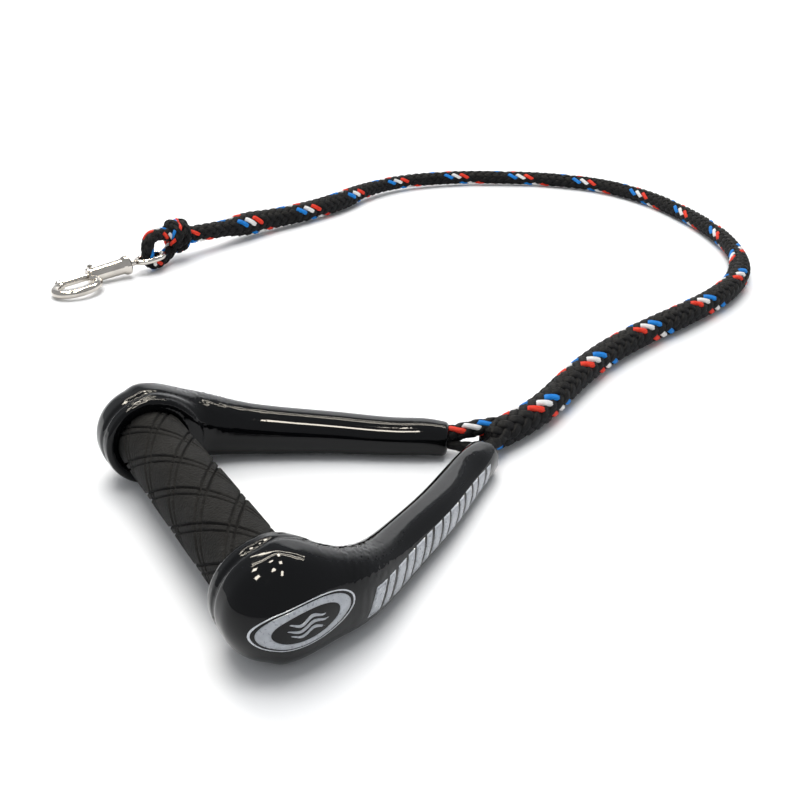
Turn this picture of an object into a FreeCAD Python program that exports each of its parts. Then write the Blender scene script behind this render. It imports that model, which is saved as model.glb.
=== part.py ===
import FreeCAD, Part
import math
import os

import Sketcher
from FreeCAD import Placement, Rotation, Vector

# A single-hand ski tow handle: rubber grip on an aluminium tube between two moulded
# boots whose arms meet in a wishbone, a braided lead about a metre long, and a
# swivel bolt snap in a knotted loop at its far end. It lies on a table as it is put
# down. Millimetres, +Z up. Frame: the table is z = 0, the grip lies along Y, the arms
# point along +X and the origin is under the middle of the handle's own box.

doc = FreeCAD.newDocument("tow_handle")

# ---------------------------------------------------------------- driving dimensions
DIMENSIONS = [
    # handle, measured in its own plane from the grip's axis
    ("grip_offset", 52.4),
    ("grip_radius", 14.0),
    ("grip_wall", 2.85),
    ("grip_length", 117.0),
    ("grip_chamfer", 0.8),
    ("tube_radius", 11.0),
    ("tube_wall", 1.5),
    ("tube_length", 127.0),
    ("cap_radius", 19.3),
    ("cap_face", 53.5),
    ("cap_edge", 3.0),
    ("cap_dome_start", 64.5),
    ("cap_apex", 81.5),
    ("arm_reach", 118.0),
    ("arm_flex", 3.0),
    ("tip_half_height", 7.8),
    ("tip_half_width", 8.0),
    ("socket_gap", 0.15),
    ("flange_radius", 12.6),
    ("flange_thickness", 2.5),
    ("spigot_length", 14.0),
    ("guide_bore_radius", 4.4),
    ("guide_mouth", 1.2),
    # rope
    ("bridle_radius", 4.0),
    ("channel_gap", 0.2),
    ("rope_radius", 5.8),
    ("handle_splice_radius", 7.2),
    ("snap_splice_radius", 7.6),
    ("neck_radius", 6.2),
    ("tail_radius", 3.8),
    ("tail_gap", 0.2),
    ("loop_radius", 3.4),
    ("knot_half_length", 11.0),
    ("knot_half_width", 10.0),
    ("knot_half_height", 12.0),
    # swivel snap, measured along its axis from the eye's end
    ("snap_length", 81.0),
    ("eye_half_length", 9.2),
    ("eye_half_width", 5.7),
    ("eye_wire_radius", 1.8),
    ("loop_place", 11.8),
    ("eye_height", 10.6),
    ("stem_start", 20.5),
    ("head_start", 29.8),
    ("head_end", 33.6),
    ("head_radius", 3.1),
    ("swivel_gap", 0.08),
    ("collar_start", 25.5),
    ("collar_end", 29.5),
    ("collar_radius", 6.2),
    ("chamber_end", 34.0),
    ("chamber_radius", 3.5),
    ("barrel_root_radius", 5.1),
    ("barrel_end", 54.0),
    ("barrel_radius", 4.6),
    ("rim_radius", 5.3),
    ("rim_start", 52.0),
    ("spring_seat", 35.2),
    ("bolt_radius", 2.2),
    ("bolt_gap", 0.08),
    ("bolt_tail", 47.7),
    ("bolt_end", 71.3),
    ("bolt_travel", 8.0),
    ("hook_wire_radius", 2.6),
    ("hook_half_length", 13.6),
    ("hook_half_width", 10.6),
    ("hook_centre", 64.8),
    ("hook_root", 53.0),
    ("tip_boss_start", 70.0),
    ("tip_boss_end", 75.0),
    ("tip_boss_radius", 3.1),
    ("tip_overlap", 2.0),
    ("tip_recess_end", 71.6),
    ("stud_place", 50.2),
    ("stud_radius", 0.95),
    ("slot_gap", 0.25),
    ("stud_reach", 5.5),
    ("knob_radius", 1.9),
    ("knob_height", 1.7),
    ("spring_coil_radius", 1.7),
    ("spring_wire_radius", 0.28),
    ("spring_turns", 7.0),
]

sheet = doc.addObject("Spreadsheet::Sheet", "dims")
for row, (alias, value) in enumerate(DIMENSIONS, start=1):
    sheet.set(f"A{row}", alias)
    sheet.set(f"B{row}", str(value))
    sheet.setAlias(f"B{row}", alias)
doc.recompute()


def dim(alias):
    return float(getattr(sheet, alias))


# ---------------------------------------------------------------- frames
# The handle's plane dips from the grip to the arm tips, so caps and tips all touch down.
DIP = math.degrees(
    math.asin((dim("cap_radius") - dim("tip_half_height")) / dim("arm_reach"))
)
HANDLE = Placement(
    Vector(-dim("grip_offset"), 0, dim("cap_radius")), Rotation(Vector(0, 1, 0), DIP)
)
ALONG_Y = Rotation(Vector(1, 0, 0), -90)  # turns local Z to +Y
ALONG_MINUS_Y = Rotation(Vector(1, 0, 0), 90)

# The snap's frame: local Z runs from the eye's end to the hook's end, local X towards
# the hook's bulge, and local Y is the upper side. It dips until the hook touches down.
EYE_END = (41.5, 310.6)
SNAP_HEADING = math.radians(185.0)
SNAP_DIP = math.asin(
    (dim("eye_height") - dim("tip_boss_radius")) / dim("snap_length")
)
AXIS = Vector(
    math.cos(SNAP_HEADING) * math.cos(SNAP_DIP),
    math.sin(SNAP_HEADING) * math.cos(SNAP_DIP),
    -math.sin(SNAP_DIP),
)
ACROSS = Vector(-math.sin(SNAP_HEADING), math.cos(SNAP_HEADING), 0)
UPPER = AXIS.cross(ACROSS)
SNAP = Placement(
    FreeCAD.Matrix(
        ACROSS.x, UPPER.x, AXIS.x, EYE_END[0],
        ACROSS.y, UPPER.y, AXIS.y, EYE_END[1],
        ACROSS.z, UPPER.z, AXIS.z, dim("eye_height"),
        0, 0, 0, 1,
    )
)

# The stud points up and away from the hook's bulge: turned about the axis from local X.
STUD_TURN = Rotation(Vector(0, 0, 1), 125)

# ---------------------------------------------------------------- rope routes
# The lead from the throat between the arm tips to the knot, as x, y and height.
# It leaves towards +X, swings round in one long bend and comes back beside the handle.
LEAD_ROUTE = [
    (78.5, 0.5, 7.8),
    (96, 3.5, 7.4),
    (120, 11, 7.4),
    (151, 27.5, 7.4),
    (186, 42, 7.4),
    (223, 51.5, 7.4),
    (265, 59, 7.4),
    (304, 68.5, 7.4),
    (340, 86, 7.4),
    (373, 116, 7.2),
    (399, 156, 6.5),
    (417, 202, 6.1),
    (428, 252, 6.0),
    (424, 301, 6.0),
    (400, 340, 6.1),
    (365, 369, 6.4),
    (324, 392, 6.8),
    (279, 400, 7.4),
    (240, 390, 8.0),
    (204, 369, 8.0),
    (168, 357, 8.2),
    (131, 350, 9.2),
    (102, 340, 11.5),
    (82, 332, 13.6),
    (64, 327.3, 15.0),
]
# Runs of the route, by number, where one stretch of rope passes into the next.
HANDLE_SPLICE_END = 8
SNAP_SPLICE_START = 18
SNAP_SPLICE_END = 22

# The bridle inside the handle, in the handle's plane: from the throat through one arm
# to the grip tube. The other half mirrors it.
BRIDLE_HALF = [
    (131.5, 3.2),
    (118.0, 10.4),
    (95.0, 25.0),
    (70.0, 41.0),
    (45.0, 56.0),
    (29.0, 66.0),
    (14.0, 73.5),
    (0.0, 72.0),
]

# Sections of an arm in the handle's plane: place of the centre along X, Y and Z, half
# width and half height. They run from inside the cap to the tip, flat underneath.
ARM_SECTIONS = [
    (3.0, 65.0, 0.0, 12.5, 17.0),
    (20.0, 66.0, -0.8, 12.2, 15.0),
    (37.0, 60.5, -2.9, 10.4, 12.0),
    (56.0, 50.0, -3.2, 9.4, 10.2),
    (80.0, 35.8, -2.3, 9.0, 8.8),
    (102.0, 20.8, -1.0, 8.4, 8.0),
    (112.0, 14.4, -0.1, dim("tip_half_width"), dim("tip_half_height")),
    (dim("arm_reach"), 10.4, -0.2, 6.6, 6.6),
]

KNOT_CENTRE = Vector(54.6, 325.0, 15.5)


# ---------------------------------------------------------------- building blocks
def feature(label, shape, placement=None):
    """A sub-part whose shape comes straight from Part's own functions."""
    piece = doc.addObject("Part::Feature", label)
    piece.Label = label
    piece.Shape = shape
    if placement is not None:
        piece.Placement = placement
    return piece


def origin_plane(body, role):
    return next(f for f in body.Origin.OriginFeatures if f.Role == role)


def new_body(label, placement):
    body = doc.addObject("PartDesign::Body", label)
    body.Label = label
    body.Placement = placement
    return body


def bound_outline(sketch, corners):
    """Closed outline through corners given as pairs of expressions for X and Y."""
    values = [(value_of(x_text), value_of(y_text)) for x_text, y_text in corners]
    count = len(corners)
    for i in range(count):
        start = Vector(*values[i], 0)
        end = Vector(*values[(i + 1) % count], 0)
        sketch.addGeometry(Part.LineSegment(start, end), False)
    for i in range(count):
        sketch.addConstraint(Sketcher.Constraint("Coincident", i, 2, (i + 1) % count, 1))
    for i, (x_text, y_text) in enumerate(corners):
        for kind, axis, text, value in (
            ("DistanceX", -2, x_text, values[i][0]),
            ("DistanceY", -1, y_text, values[i][1]),
        ):
            if value == 0:
                sketch.addConstraint(Sketcher.Constraint("PointOnObject", i, 1, axis))
                continue
            number = sketch.addConstraint(Sketcher.Constraint(kind, -1, 1, i, 1, value))
            sketch.setExpression(f"Constraints[{number}]", text)


def value_of(text):
    """The present value of an expression on the sheet's cells."""
    return float(sheet.evalExpression(text.replace("dims.", "")))


def lathe(label, placement, corners):
    """A turned body: an outline of (radius, height) expressions about local Z."""
    body = new_body(label, placement)
    sketch = body.newObject("Sketcher::SketchObject", label + "_profile")
    sketch.AttachmentSupport = [(origin_plane(body, "XZ_Plane"), "")]
    sketch.MapMode = "FlatFace"
    bound_outline(sketch, corners)
    turned = body.newObject("PartDesign::Revolution", label + "_turn")
    turned.Profile = sketch
    turned.ReferenceAxis = (sketch, ["V_Axis"])
    turned.Angle = 360.0
    body.Tip = turned
    doc.recompute()
    return body


def bound(kind, name, placement=None, **sizes):
    """A Part primitive whose sizes are expressions on the sheet."""
    item = doc.addObject(kind, name)
    for prop, text in sizes.items():
        item.setExpression(prop, text)
    if placement is not None:
        item.Placement = placement
    return item


def boolean(kind, label, first, second):
    result = doc.addObject(kind, label)
    result.Label = label
    result.Base = first
    result.Tool = second
    return result


# ---------------------------------------------------------------- rope helpers
def corner_radii(points):
    """Arc radius at each inner point: 0.45 of the shorter run over tan(half turn)."""
    radii = {}
    for i in range(1, len(points) - 1):
        before = points[i] - points[i - 1]
        after = points[i + 1] - points[i]
        turn = before.getAngle(after)
        radii[i] = 0.45 * min(before.Length, after.Length) / math.tan(turn / 2)
    return radii


def rope_wire(points, first=None, last=None):
    """Straight runs joined by tangent arcs, from the middle of run first to that of
    run last, or from the route's own ends where they are not given."""
    radii = corner_radii(points)
    start = points[0] if first is None else (points[first] + points[first + 1]) * 0.5
    end = points[-1] if last is None else (points[last] + points[last + 1]) * 0.5
    first_corner = 1 if first is None else first + 1
    end_corner = len(points) - 1 if last is None else last + 1
    edges = []
    here = start
    for i in range(first_corner, end_corner):
        before = (points[i - 1] - points[i]).normalize()
        after = (points[i + 1] - points[i]).normalize()
        turn = math.pi - before.getAngle(after)
        reach = radii[i] * math.tan(turn / 2)
        arc_start = points[i] + before * reach
        arc_end = points[i] + after * reach
        bisector = (before + after).normalize()
        middle = points[i] + bisector * (radii[i] / math.cos(turn / 2) - radii[i])
        edges.append(Part.LineSegment(here, arc_start).toShape())
        edges.append(Part.Arc(arc_start, middle, arc_end).toShape())
        here = arc_end
    edges.append(Part.LineSegment(here, end).toShape())
    return Part.Wire(edges)


def pipe(wire, radius):
    """A round bar swept along a wire, checked against section times length."""
    first = wire.Edges[0]
    start = first.valueAt(first.FirstParameter)
    direction = first.tangentAt(first.FirstParameter)
    section = Part.Wire(Part.Circle(start, direction, radius).toShape())
    solid = wire.makePipeShell([section], True, False)
    expected = math.pi * radius ** 2 * wire.Length
    if not solid.isValid() or abs(solid.Volume / expected - 1) > 0.01:
        raise RuntimeError(f"pipe of radius {radius} is wrong: {solid.Volume} for {expected}")
    return solid


def vectors(points):
    return [Vector(*p) for p in points]


# ---------------------------------------------------------------- handle
def make_grip_tube():
    """Aluminium tube the length of the grip and into both caps."""
    outer, half = "dims.tube_radius", "dims.tube_length / 2"
    inner = "dims.tube_radius - dims.tube_wall"
    return lathe(
        "grip_tube",
        HANDLE.multiply(Placement(Vector(), ALONG_Y)),
        [(inner, "-" + half), (outer, "-" + half), (outer, half), (inner, half)],
    )


def make_rubber_grip():
    """Moulded rubber sleeve on the tube, its ends chamfered and inside the caps."""
    outer, inner = "dims.grip_radius", "dims.grip_radius - dims.grip_wall"
    half, bevel = "dims.grip_length / 2", "dims.grip_chamfer"
    return lathe(
        "rubber_grip",
        HANDLE.multiply(Placement(Vector(), ALONG_Y)),
        [
            (inner, f"-{half}"),
            (f"{outer} - {bevel}", f"-{half}"),
            (outer, f"{bevel} - {half}"),
            (outer, f"{half} - {bevel}"),
            (f"{outer} - {bevel}", half),
            (inner, half),
        ],
    )


def make_rope_guide(label, turn):
    """Nylon plug in a tube end, flared so that the rope bends without chafing."""
    bore, mouth = "dims.guide_bore_radius", "dims.guide_mouth"
    spigot = "dims.tube_radius - dims.tube_wall - 0.05"
    end, flange = "dims.tube_length / 2", "dims.flange_thickness"
    return lathe(
        label,
        HANDLE.multiply(Placement(Vector(), turn)),
        [
            (bore, f"{end} - dims.spigot_length"),
            (spigot, f"{end} - dims.spigot_length"),
            (spigot, end),
            ("dims.flange_radius", end),
            ("dims.flange_radius", f"{end} + {flange}"),
            (f"{bore} + {mouth}", f"{end} + {flange}"),
            (bore, f"{end} + {flange} - {mouth}"),
        ],
    )


def oval(centre, first, second):
    """An ellipse on two half axes, whichever of them is the longer."""
    longer, shorter = sorted((first, second), key=lambda v: -v.Length)
    return Part.Ellipse(centre + longer, centre + shorter, centre)


def cap_solid():
    """Mushroom cap turned about the grip's axis: flat face, rounded edge, full dome."""
    radius, face, edge = dim("cap_radius"), dim("cap_face"), dim("cap_edge")
    dome, apex = dim("cap_dome_start"), dim("cap_apex")
    lip_centre = Vector(radius - edge, face + edge, 0)
    lip_middle = lip_centre + Vector(1, -1, 0).normalize() * edge
    crown = oval(Vector(0, dome, 0), Vector(0, apex - dome, 0), Vector(radius, 0, 0))
    outline = [
        Part.LineSegment(Vector(0, face, 0), Vector(radius - edge, face, 0)).toShape(),
        Part.Arc(
            Vector(radius - edge, face, 0), lip_middle, Vector(radius, face + edge, 0)
        ).toShape(),
        Part.LineSegment(Vector(radius, face + edge, 0), Vector(radius, dome, 0)).toShape(),
    ]
    quarter = [
        arc
        for arc in (
            crown.toShape(0, math.pi / 2),
            crown.toShape(math.pi / 2, math.pi),
            crown.toShape(math.pi, 1.5 * math.pi),
            crown.toShape(1.5 * math.pi, 2 * math.pi),
        )
        if arc.CenterOfMass.x > 0 and arc.CenterOfMass.y > dome
    ]
    outline += quarter
    outline.append(Part.LineSegment(Vector(0, apex, 0), Vector(0, face, 0)).toShape())
    half_section = Part.Face(Part.Wire(Part.sortEdges(outline)[0]))
    half_section.rotate(Vector(), Vector(0, 1, 0), 180)  # the seam goes on the back
    return half_section.revolve(Vector(), Vector(0, 1, 0), 360)


def flexed(x, sign):
    """The arms are flexible: as laid down, the near one reaches further than the far."""
    return x - sign * dim("arm_flex") * (x / dim("arm_reach")) ** 2


def arm_solid(sign):
    """Oval arm lofted from the cap to the tip."""
    centres = [Vector(flexed(x, sign), y, z) for x, y, z, _, _ in ARM_SECTIONS]
    wires = []
    for i, (_, _, _, half_width, half_height) in enumerate(ARM_SECTIONS):
        before = centres[max(i - 1, 0)]
        after = centres[min(i + 1, len(centres) - 1)]
        along = (after - before).normalize()
        side = Vector(0, 0, 1).cross(along)
        section = oval(centres[i], Vector(0, 0, half_height), side * half_width)
        wires.append(Part.Wire(section.toShape()))
    return Part.makeLoft(wires, True, False)


def bridle_points(sign):
    """The throat end stays at the lead's mouth, whichever way the arm flexes."""
    throat = [Vector(BRIDLE_HALF[0][0], sign * BRIDLE_HALF[0][1], 0)]
    return throat + [Vector(flexed(x, sign), sign * y, 0) for x, y in BRIDLE_HALF[1:]]


def make_boot(label, sign):
    """Moulded vinyl cap and arm in one, with its tube socket and rope channel."""
    gap = dim("socket_gap")
    solid = cap_solid().fuse(arm_solid(sign))
    face = dim("cap_face")
    grip_end = dim("grip_length") / 2
    tube_end = dim("tube_length") / 2
    flange_end = tube_end + dim("flange_thickness")
    sockets = [
        (dim("grip_radius") + gap, face - 1, grip_end + gap),
        (dim("tube_radius") + gap, face - 1, tube_end + gap),
        (dim("flange_radius") + gap, tube_end - gap, flange_end + gap),
    ]
    for radius, start, end in sockets:
        solid = solid.cut(
            Part.makeCylinder(radius, end - start, Vector(0, start, 0), Vector(0, 1, 0))
        )
    route = [Vector(p.x, abs(p.y), 0) for p in bridle_points(sign)] + [Vector(0, 30, 0)]
    channel = pipe(rope_wire(route), dim("bridle_radius") + dim("channel_gap"))
    solid = solid.cut(channel).removeSplitter()
    if sign < 0:
        solid = solid.mirror(Vector(), Vector(0, 1, 0))
    return feature(label, solid, HANDLE)


def make_bridle():
    """The rope through arm, tube and arm, whole, and its two legs past the tips."""
    radius = dim("bridle_radius")
    points = bridle_points(1) + bridle_points(-1)[::-1]
    inside = points[1:-1]
    legs = [("far_leg", points[:2]), ("near_leg", points[-2:])]
    feature("bridle_rope", pipe(rope_wire(inside), radius), HANDLE)
    for label, (start, end) in legs:
        leg = Part.Wire(Part.LineSegment(start, end).toShape())
        feature(label, pipe(leg, radius), HANDLE)


# ---------------------------------------------------------------- lead
def make_lead():
    """Outer braid in four stretches and the two buried tails that make the splices."""
    points = vectors(LEAD_ROUTE)
    radii = corner_radii(points)
    print("lead radii:", [round(radii[i]) for i in sorted(radii)])
    print("lead length:", round(rope_wire(points).Length, 1))
    tail = dim("tail_radius")
    sleeve = tail + dim("tail_gap")
    splice = rope_wire(points, None, HANDLE_SPLICE_END)
    feature("handle_splice", pipe(splice, dim("handle_splice_radius")).cut(pipe(splice, sleeve)))
    feature("handle_buried_tail", pipe(splice, tail))
    middle = rope_wire(points, HANDLE_SPLICE_END, SNAP_SPLICE_START)
    feature("lead_rope", pipe(middle, dim("rope_radius")))
    splice = rope_wire(points, SNAP_SPLICE_START, SNAP_SPLICE_END)
    feature("snap_splice", pipe(splice, dim("snap_splice_radius")).cut(pipe(splice, sleeve)))
    feature("snap_buried_tail", pipe(splice, tail))
    neck = rope_wire(points, SNAP_SPLICE_END, None)
    feature("lead_neck", pipe(neck, dim("neck_radius")))


def make_knot():
    """Closed outer form of the lock knot."""
    knot = bound(
        "Part::Ellipsoid",
        "lock_knot",
        Radius1="dims.knot_half_height",
        Radius2="dims.knot_half_length",
        Radius3="dims.knot_half_width",
    )
    knot.Label = "lock_knot"
    knot.Placement = Placement(KNOT_CENTRE, Rotation(Vector(0, 0, 1), 20))


def make_loop():
    """Soft loop: out of the knot, down through the snap's eye and back to the knot."""
    radius = dim("loop_radius")
    inside_eye = Vector(*EYE_END, 0) + AXIS * dim("loop_place")
    inside_eye.z = 0
    towards_knot = Vector(KNOT_CENTRE.x, KNOT_CENTRE.y, 0) - inside_eye
    reach = towards_knot.Length
    towards_knot.normalize()
    floor = radius + 0.05
    profile = [
        (reach - 7.5, 17.0),
        (12.0, 22.0),
        (0.0, 20.5),
        (0.0, floor),
        (14.0, floor),
        (reach - 6.5, 11.0),
    ]
    points = [inside_eye + towards_knot * e + Vector(0, 0, z) for e, z in profile]
    radii = corner_radii(points)
    print("loop radii:", [round(radii[i], 1) for i in sorted(radii)])
    feature("snap_loop", pipe(rope_wire(points), radius))


# ---------------------------------------------------------------- swivel snap
def make_eye():
    """Swivel eye: long flat ring, stem and the head peened over inside the collar."""
    centre = Vector(0, 0, dim("eye_half_length") + dim("eye_wire_radius"))
    outline = oval(
        centre, Vector(0, 0, dim("eye_half_length")), Vector(dim("eye_half_width"), 0, 0)
    )
    ring_shape = pipe(Part.Wire(outline.toShape()), dim("eye_wire_radius"))
    ring = feature("eye_ring", ring_shape, SNAP)
    stem = lathe(
        "eye_stem",
        SNAP,
        [
            ("0", "dims.stem_start"),
            ("dims.eye_wire_radius", "dims.stem_start"),
            ("dims.eye_wire_radius", "dims.head_start"),
            ("dims.head_radius", "dims.head_start"),
            ("dims.head_radius", "dims.head_end - 1"),
            ("dims.head_radius - 1", "dims.head_end"),
            ("0", "dims.head_end"),
        ],
    )
    boolean("Part::Fuse", "swivel_eye", ring, stem)


def make_snap_body():
    """Cast body: collar, hollow barrel with its stud slot, and the open hook."""
    barrel = lathe(
        "snap_barrel",
        SNAP,
        [
            ("dims.eye_wire_radius + dims.swivel_gap", "dims.collar_start"),
            ("dims.collar_radius - 0.8", "dims.collar_start"),
            ("dims.collar_radius", "dims.collar_start + 0.8"),
            ("dims.collar_radius", "dims.collar_end - 0.6"),
            ("dims.barrel_root_radius", "dims.collar_end + 1.2"),
            ("dims.barrel_radius", "dims.rim_start"),
            ("dims.rim_radius", "dims.rim_start + 0.5"),
            ("dims.rim_radius", "dims.barrel_end - 0.5"),
            ("dims.rim_radius - 0.5", "dims.barrel_end"),
            ("dims.bolt_radius + dims.bolt_gap", "dims.barrel_end"),
            ("dims.bolt_radius + dims.bolt_gap", "dims.spring_seat"),
            ("0", "dims.spring_seat"),
            ("0", "dims.chamber_end"),
            ("dims.chamber_radius", "dims.chamber_end"),
            ("dims.chamber_radius", "dims.collar_end"),
            ("dims.eye_wire_radius + dims.swivel_gap", "dims.collar_end"),
        ],
    )
    # The hook is a length of round wire on an oval, from the barrel's side to the boss
    # that takes the bolt's end. The oval's angles run from its far end to the bulge.
    length, width, centre = dim("hook_half_length"), dim("hook_half_width"), dim("hook_centre")
    middle = Vector(width, 0, centre)
    outline = oval(middle, Vector(0, 0, length), Vector(width, 0, 0))
    tip = math.acos((dim("tip_boss_start") + dim("tip_overlap") - centre) / length)
    root = math.acos((dim("hook_root") - centre) / length)
    arc = Part.ArcOfEllipse(outline, -tip, 2 * math.pi - root)
    wire = feature("hook_wire", pipe(Part.Wire(arc.toShape()), dim("hook_wire_radius")), SNAP)
    boss = lathe(
        "hook_boss",
        SNAP,
        [
            ("0", "dims.tip_recess_end"),
            ("dims.bolt_radius + dims.bolt_gap", "dims.tip_recess_end"),
            ("dims.bolt_radius + dims.bolt_gap", "dims.tip_boss_start"),
            ("dims.tip_boss_radius - 0.4", "dims.tip_boss_start"),
            ("dims.tip_boss_radius", "dims.tip_boss_start + 0.6"),
            ("dims.tip_boss_radius", "dims.tip_boss_end - 1.6"),
            ("dims.tip_boss_radius - 1.2", "dims.tip_boss_end"),
            ("0", "dims.tip_boss_end"),
        ],
    )
    return barrel, wire, boss


def finish_snap_body(barrel, wire, boss):
    """Joins the casting, clears the bolt's way and cuts the slot for the stud."""
    bolt_way = bound(
        "Part::Cylinder",
        "bolt_way",
        SNAP.multiply(Placement(Vector(0, 0, dim("spring_seat")), Rotation())),
        Radius="dims.bolt_radius + dims.bolt_gap",
        Height="dims.tip_recess_end - dims.spring_seat",
    )
    slot_half = "dims.stud_radius + dims.slot_gap"
    slot = bound(
        "Part::Box",
        "stud_slot",
        Length="dims.collar_radius * 2",
        Width=f"2 * ({slot_half})",
        Height=f"dims.bolt_travel + 2 * ({slot_half})",
    )
    half = dim("stud_radius") + dim("slot_gap")
    slot.Placement = SNAP.multiply(
        Placement(Vector(0, 0, dim("stud_place") - dim("bolt_travel") - half), STUD_TURN)
    ).multiply(Placement(Vector(0, -half, 0), Rotation()))
    casting = boolean("Part::Fuse", "casting", barrel, wire)
    whole = boolean("Part::Fuse", "casting_with_boss", casting, boss)
    cleared = boolean("Part::Cut", "cleared_casting", whole, bolt_way)
    boolean("Part::Cut", "snap_body", cleared, slot)


def make_bolt():
    """Round bolt that closes the hook, and the thumb stud pressed into it."""
    solid = lathe(
        "bolt_bar",
        SNAP,
        [
            ("0", "dims.bolt_tail"),
            ("dims.bolt_radius", "dims.bolt_tail"),
            ("dims.bolt_radius", "dims.bolt_end - 0.6"),
            ("dims.bolt_radius - 0.6", "dims.bolt_end"),
            ("0", "dims.bolt_end"),
        ],
    )
    stud_place = SNAP.multiply(Placement(Vector(0, 0, dim("stud_place")), STUD_TURN)).multiply(
        Placement(Vector(), Rotation(Vector(0, 1, 0), 90))
    )
    hole = bound(
        "Part::Cylinder",
        "stud_hole",
        stud_place,
        Radius="dims.stud_radius",
        Height="dims.collar_radius",
    )
    boolean("Part::Cut", "snap_bolt", solid, hole)
    lathe(
        "thumb_stud",
        stud_place,
        [
            ("0", "0"),
            ("dims.stud_radius", "0"),
            ("dims.stud_radius", "dims.stud_reach"),
            ("dims.knob_radius", "dims.stud_reach + 0.3"),
            ("dims.knob_radius", "dims.stud_reach + dims.knob_height - 0.8"),
            ("dims.knob_radius - 0.9", "dims.stud_reach + dims.knob_height"),
            ("0", "dims.stud_reach + dims.knob_height"),
        ],
    )


def make_spring():
    """Coil spring between the barrel's inner wall and the bolt's tail."""
    wire = dim("spring_wire_radius")
    start = dim("spring_seat") + wire + 0.05
    length = dim("bolt_tail") - dim("spring_seat") - 2 * wire - 0.1
    helix = Part.makeHelix(length / dim("spring_turns"), length, dim("spring_coil_radius"))
    edge = helix.Edges[0]
    start_point = edge.valueAt(edge.FirstParameter)
    start_tangent = edge.tangentAt(edge.FirstParameter)
    section = Part.Wire(Part.Circle(start_point, start_tangent, wire).toShape())
    solid = Part.Wire(helix.Edges).makePipeShell([section], True, True)
    place = SNAP.multiply(Placement(Vector(0, 0, start), Rotation()))
    feature("bolt_spring", solid, place)


# ---------------------------------------------------------------- build and write
NODES = [
    "grip_tube",
    "rubber_grip",
    "near_rope_guide",
    "far_rope_guide",
    "near_boot",
    "far_boot",
    "bridle_rope",
    "near_leg",
    "far_leg",
    "handle_splice",
    "handle_buried_tail",
    "lead_rope",
    "snap_splice",
    "snap_buried_tail",
    "lead_neck",
    "lock_knot",
    "snap_loop",
    "swivel_eye",
    "snap_body",
    "snap_bolt",
    "thumb_stud",
    "bolt_spring",
]


def check_document():
    for item in doc.Objects:
        if "Invalid" in item.State or "Error" in item.State:
            raise RuntimeError(f"{item.Name} did not recompute: {item.State}")


def main():
    make_grip_tube()
    make_rubber_grip()
    make_rope_guide("far_rope_guide", ALONG_Y)
    make_rope_guide("near_rope_guide", ALONG_MINUS_Y)
    make_boot("far_boot", 1)
    make_boot("near_boot", -1)
    make_bridle()
    make_lead()
    make_knot()
    make_loop()
    make_eye()
    finish_snap_body(*make_snap_body())
    make_bolt()
    make_spring()
    doc.recompute()
    check_document()
    os.makedirs("parts", exist_ok=True)
    for node in NODES:
        shape = doc.getObjectsByLabel(node)[0].Shape
        if shape.isNull() or not shape.isValid() or not shape.Solids:
            raise RuntimeError(f"{node} has no valid solid")
        shape.exportStep(f"parts/{node}.step")
        print(f"{node}: {shape.Volume / 1000:.2f} cm3, solids {len(shape.Solids)}")


main()
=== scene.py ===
"""Looks of the tow handle: glossy boots, grooved rubber grip, braided lead and nickel snap.

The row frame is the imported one, in metres: the table is z = 0, the grip lies along Y,
the arms point along +X and the lead swings round to the snap. Sizes are in millimetres
and are turned into metres where the pieces are added.
"""
import math

import bpy
import numpy as np
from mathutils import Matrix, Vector


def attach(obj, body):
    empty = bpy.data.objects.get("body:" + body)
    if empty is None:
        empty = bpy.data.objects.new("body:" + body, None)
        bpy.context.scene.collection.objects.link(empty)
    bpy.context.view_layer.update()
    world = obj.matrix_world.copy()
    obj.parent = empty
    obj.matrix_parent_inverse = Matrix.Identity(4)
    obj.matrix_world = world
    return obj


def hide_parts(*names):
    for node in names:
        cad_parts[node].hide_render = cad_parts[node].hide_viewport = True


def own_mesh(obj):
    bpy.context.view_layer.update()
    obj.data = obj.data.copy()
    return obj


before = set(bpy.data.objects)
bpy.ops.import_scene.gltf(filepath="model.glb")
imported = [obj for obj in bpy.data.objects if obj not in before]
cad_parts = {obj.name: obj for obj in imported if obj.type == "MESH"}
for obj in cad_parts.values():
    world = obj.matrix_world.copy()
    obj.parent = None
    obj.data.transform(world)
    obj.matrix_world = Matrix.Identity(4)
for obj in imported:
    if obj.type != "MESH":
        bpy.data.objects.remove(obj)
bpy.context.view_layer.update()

MM = 0.001
TAU = 2 * math.pi

# ---------------------------------------------------------------- handle's own frame
# Handle coordinates are millimetres from the grip's middle: u towards the arm tips,
# v along the grip and w up from the handle's plane, which dips towards the tips.
GRIP_OFFSET = 52.4
CAP_RADIUS = 19.3
ARM_REACH = 118.0
TIP_HALF_HEIGHT = 7.8
ARM_FLEX = 3.0
GRIP_RADIUS = 14.0
GRIP_LENGTH = 117.0
CAP_FACE = 53.5
DIP = math.asin((CAP_RADIUS - TIP_HALF_HEIGHT) / ARM_REACH)


def handle_to_row(points):
    """Handle coordinates in millimetres to the row frame in metres."""
    points = np.asarray(points, float)
    u, v, w = points[..., 0], points[..., 1], points[..., 2]
    x = u * math.cos(DIP) + w * math.sin(DIP) - GRIP_OFFSET
    z = w * math.cos(DIP) - u * math.sin(DIP) + CAP_RADIUS
    return np.stack([x, v, z], -1) * MM


# ---------------------------------------------------------------- small mesh tools
def new_object(name, vertices, faces, material):
    mesh = bpy.data.meshes.new(name)
    mesh.from_pydata([tuple(v) for v in np.asarray(vertices).tolist()], [], faces)
    mesh.validate()
    mesh.update()
    mesh.polygons.foreach_set("use_smooth", [True] * len(mesh.polygons))
    piece = bpy.data.objects.new(name, mesh)
    bpy.context.scene.collection.objects.link(piece)
    mesh.materials.append(material)
    return piece


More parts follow.
